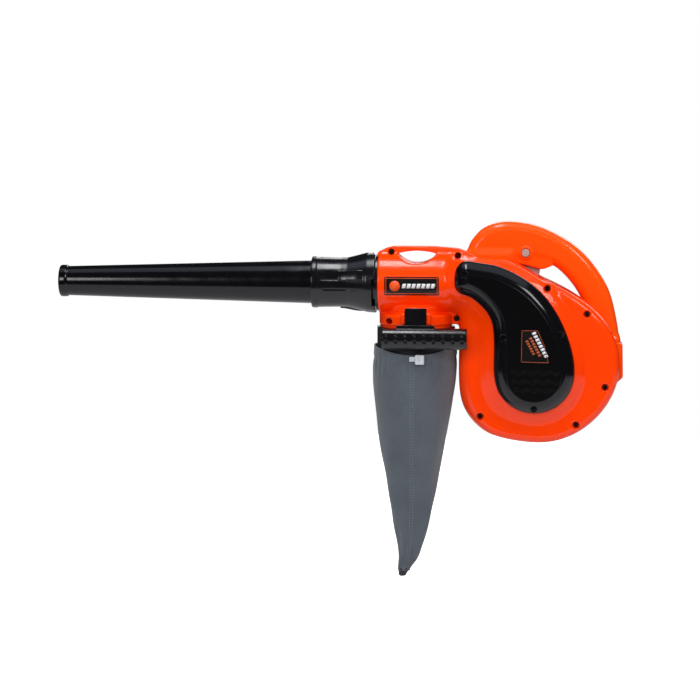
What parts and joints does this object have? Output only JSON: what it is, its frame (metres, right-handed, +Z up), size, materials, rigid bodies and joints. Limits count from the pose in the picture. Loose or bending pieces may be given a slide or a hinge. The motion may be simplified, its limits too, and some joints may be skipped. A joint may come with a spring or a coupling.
{
  "type": "electric leaf blower",
  "caption": "Hand-held electric blower: round fan housing, side duct cover, arched handle with trigger, long tapered nozzle and a hanging dust bag.",
  "frame": {"origin": "middle of the hand grip, inside the handle arch above the finger opening", "axes": "the nozzle points along -X, the duct cover faces -Y and the motor lies towards +Y, +Z is up"},
  "size_m": [0.6536, 0.1797, 0.4118],
  "materials": {
    "housing_orange": "glossy orange-red moulding, faintly uneven",
    "cover_black": "glossy black moulding",
    "nozzle_black": "glossy black tube",
    "collar_black": "satin black moulding",
    "collar_grey": "satin dark grey moulding",
    "inner_black": "plain black moulding",
    "label": "printed film, blank",
    "badge": "glossy black film with a thin border, blank",
    "seal_rubber": "soft rubber",
    "gland_rubber": "soft black rubber",
    "bag_fabric": "grey diagonal weave",
    "tie_white": "off-white nylon",
    "bright_steel": "bright turned steel",
    "dark_screw": "blackened steel",
    "brass_screw": "yellow-plated, worn",
    "brass_part": "plain",
    "laminations": "stacked sheet",
    "copper_wire": "enamelled copper",
    "cast_plate": "as cast",
    "carbon": "dull black carbon",
    "capacitor_grey": "plain",
    "trigger_grey": "warm grey moulding"
  },
  "bodies": {
    "housing": {"front_shell": "housing_orange", "rear_shell": "housing_orange", "duct_cover": "cover_black", "label_plate": "label", "badge_plate": "badge", "air_divider": "inner_black", "mouth_ring": "cover_black", "mouth_seal": "seal_rubber", "front_bearing": "bright_steel", "rear_bearing": "bright_steel", "bearing_plate": "cast_plate", "stator_core": "laminations", "field_coils": "copper_wire", "rear_bearing_bridge": "cast_plate", "brush_holders": "brass_part", "carbon_brushes": "carbon", "brush_caps": "inner_black", "stator_screws": "bright_steel", "handle_front_shell": "housing_orange", "handle_rear_shell": "housing_orange", "vent_cover": "collar_black", "rating_plate": "label", "trigger_pin": "bright_steel", "lock_spring": "bright_steel", "switch_body": "inner_black", "capacitor": "capacitor_grey", "cord_gland": "gland_rubber", "cord_clamp": "inner_black", "ring_screws": "dark_screw", "neck_screws": "brass_screw", "cover_screws": "dark_screw", "handle_screws": "dark_screw", "plate_screws": "bright_steel", "vent_screws": "dark_screw"},
    "fan": {"impeller": "inner_black", "fan_washer": "bright_steel", "fan_nut": "bright_steel", "motor_shaft": "bright_steel", "armature_core": "laminations", "armature_winding": "copper_wire", "commutator": "copper_wire"},
    "trigger": {"trigger": "trigger_grey"},
    "lock": {"lock_button": "trigger_grey"},
    "nozzle": {"nozzle_tube": "nozzle_black"},
    "collar": {"nozzle_collar": "collar_black"},
    "bag_unit": {"bag_collar": "collar_grey", "dust_bag": "bag_fabric", "bag_tip": "collar_black", "cable_tie": "tie_white", "latch_pin": "bright_steel", "latch_spring": "bright_steel"},
    "latch": {"bag_latch": "collar_black"}
  },
  "joints": [
    {"name": "fan_spin", "type": "hinge", "parent": "housing", "child": "fan", "pos_m": [-0.042, -0.047, -0.122], "axis": [0, 1, 0], "continuous": true},
    {"name": "trigger_pull", "type": "hinge", "parent": "housing", "child": "trigger", "pos_m": [-0.063, 0, 0.0025], "axis": [0, -1, 0], "range_deg": [0, 8], "stiffness_Nm_per_rad": 1, "springref_deg": -3.44},
    {"name": "lock_press", "type": "slide", "parent": "housing", "child": "lock", "axis": [0, 1, 0], "range_m": [0, 0.0025], "stiffness_N_per_m": 800, "springref_m": -0.002, "deforming": ["lock_spring"]},
    {"name": "nozzle_pull", "type": "slide", "parent": "housing", "child": "nozzle", "axis": [-1, 0, 0], "range_m": [0, 0.03]},
    {"name": "collar_twist", "type": "hinge", "parent": "nozzle", "child": "collar", "pos_m": [-0.261, -0.047, -0.022], "axis": [1, 0, 0], "range_deg": [0, 30]},
    {"name": "bag_pull", "type": "slide", "parent": "housing", "child": "bag_unit", "axis": [0, 0, -1], "range_m": [0, 0.022]},
    {"name": "latch_squeeze", "type": "hinge", "parent": "bag_unit", "child": "latch", "pos_m": [-0.1759, -0.0965, -0.0715], "axis": [1, 0, 0], "range_deg": [0, 10], "stiffness_Nm_per_rad": 1.5, "springref_deg": -5.73}
  ]
}
